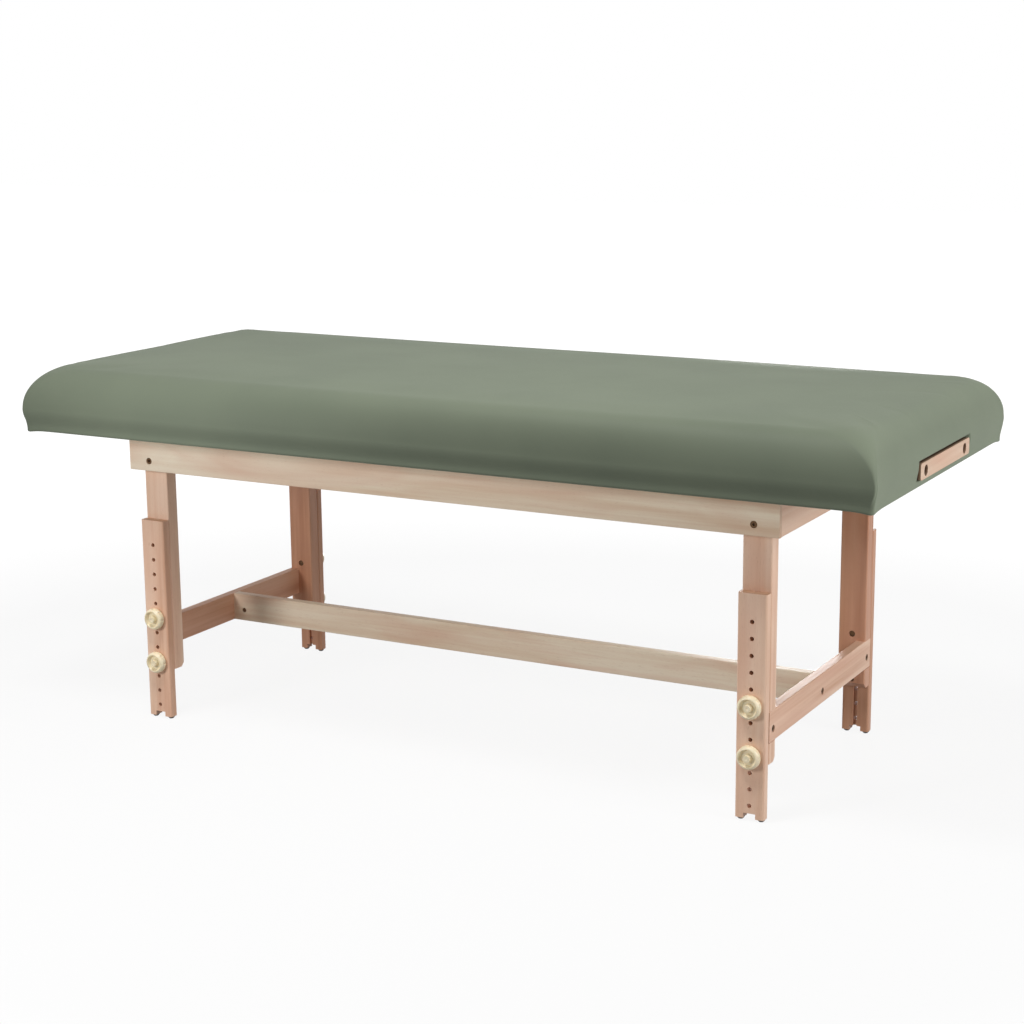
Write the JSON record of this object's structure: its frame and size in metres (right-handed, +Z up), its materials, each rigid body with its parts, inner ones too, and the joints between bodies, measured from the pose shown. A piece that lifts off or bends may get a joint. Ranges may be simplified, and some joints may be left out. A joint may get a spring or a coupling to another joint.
{
  "type": "stationary massage table",
  "caption": "Stationary massage table with a thick sage-green padded top on a pale wooden frame, pegged leg extensions with round knobs to set the height, and an end block for a face rest.",
  "frame": {"origin": "on the floor under the middle of the table's top, with every glide standing on the floor", "axes": "+X along the table's length toward the end with the face-rest block, +Y toward the back long side, +Z up"},
  "size_m": [1.861, 0.781, 0.7578],
  "materials": {
    "sage_vinyl": "satin",
    "foam": "matte",
    "plywood": "matte",
    "maple": "satin",
    "zinc_steel": "satin",
    "black_steel": "satin",
    "brass_insert": "satin",
    "cream_plastic": "gloss",
    "dark_nylon": "matte"
  },
  "bodies": {
    "table": {"vinyl_cover": "sage_vinyl", "foam_pad": "foam", "deck_panel": "plywood", "face_rest_block": "maple", "deck_screws": "zinc_steel", "block_screws": "zinc_steel", "front_rail": "maple", "back_rail": "maple", "left_end_rail": "maple", "right_end_rail": "maple", "left_crossbar": "maple", "right_crossbar": "maple", "stretcher": "maple", "rail_bolts": "black_steel", "crossbar_bolts": "black_steel", "stretcher_bolts": "black_steel", "rail_nuts": "zinc_steel", "barrel_nuts": "black_steel", "crossbar_inserts": "brass_insert", "knob_studs": "black_steel", "leg_front_left": "maple", "leg_front_right": "maple", "leg_back_left": "maple", "leg_back_right": "maple"},
    "extension_front_left": {"extension_front_left": "maple", "glides_front_left": "dark_nylon"},
    "knob_front_left_lower": {"knob_front_left_lower": "cream_plastic", "knob_nut_front_left_lower": "zinc_steel"},
    "knob_front_left_upper": {"knob_front_left_upper": "cream_plastic", "knob_nut_front_left_upper": "zinc_steel"},
    "extension_front_right": {"extension_front_right": "maple", "glides_front_right": "dark_nylon"},
    "knob_front_right_lower": {"knob_front_right_lower": "cream_plastic", "knob_nut_front_right_lower": "zinc_steel"},
    "knob_front_right_upper": {"knob_front_right_upper": "cream_plastic", "knob_nut_front_right_upper": "zinc_steel"},
    "extension_back_left": {"extension_back_left": "maple", "glides_back_left": "dark_nylon"},
    "knob_back_left_lower": {"knob_back_left_lower": "cream_plastic", "knob_nut_back_left_lower": "zinc_steel"},
    "knob_back_left_upper": {"knob_back_left_upper": "cream_plastic", "knob_nut_back_left_upper": "zinc_steel"},
    "extension_back_right": {"extension_back_right": "maple", "glides_back_right": "dark_nylon"},
    "knob_back_right_lower": {"knob_back_right_lower": "cream_plastic", "knob_nut_back_right_lower": "zinc_steel"},
    "knob_back_right_upper": {"knob_back_right_upper": "cream_plastic", "knob_nut_back_right_upper": "zinc_steel"}
  },
  "joints": [
    {"name": "height_front_left", "type": "slide", "parent": "table", "child": "extension_front_left", "axis": [0, 0, 1], "range_m": [-0.09525, 0.09525]},
    {"name": "turn_front_left_lower", "type": "hinge", "parent": "table", "child": "knob_front_left_lower", "pos_m": [-0.67473, -0.298, 0.12525], "axis": [0, -1, 0], "continuous": true},
    {"name": "turn_front_left_upper", "type": "hinge", "parent": "table", "child": "knob_front_left_upper", "pos_m": [-0.67473, -0.298, 0.2205], "axis": [0, -1, 0], "continuous": true},
    {"name": "height_front_right", "type": "slide", "parent": "table", "child": "extension_front_right", "axis": [0, 0, 1], "range_m": [-0.09525, 0.09525]},
    {"name": "turn_front_right_lower", "type": "hinge", "parent": "table", "child": "knob_front_right_lower", "pos_m": [0.67473, -0.298, 0.12525], "axis": [0, -1, 0], "continuous": true},
    {"name": "turn_front_right_upper", "type": "hinge", "parent": "table", "child": "knob_front_right_upper", "pos_m": [0.67473, -0.298, 0.2205], "axis": [0, -1, 0], "continuous": true},
    {"name": "height_back_left", "type": "slide", "parent": "table", "child": "extension_back_left", "axis": [0, 0, 1], "range_m": [-0.09525, 0.09525]},
    {"name": "turn_back_left_lower", "type": "hinge", "parent": "table", "child": "knob_back_left_lower", "pos_m": [-0.67473, 0.298, 0.12525], "axis": [0, 1, 0], "continuous": true},
    {"name": "turn_back_left_upper", "type": "hinge", "parent": "table", "child": "knob_back_left_upper", "pos_m": [-0.67473, 0.298, 0.2205], "axis": [0, 1, 0], "continuous": true},
    {"name": "height_back_right", "type": "slide", "parent": "table", "child": "extension_back_right", "axis": [0, 0, 1], "range_m": [-0.09525, 0.09525]},
    {"name": "turn_back_right_lower", "type": "hinge", "parent": "table", "child": "knob_back_right_lower", "pos_m": [0.67473, 0.298, 0.12525], "axis": [0, 1, 0], "continuous": true},
    {"name": "turn_back_right_upper", "type": "hinge", "parent": "table", "child": "knob_back_right_upper", "pos_m": [0.67473, 0.298, 0.2205], "axis": [0, 1, 0], "continuous": true}
  ]
}
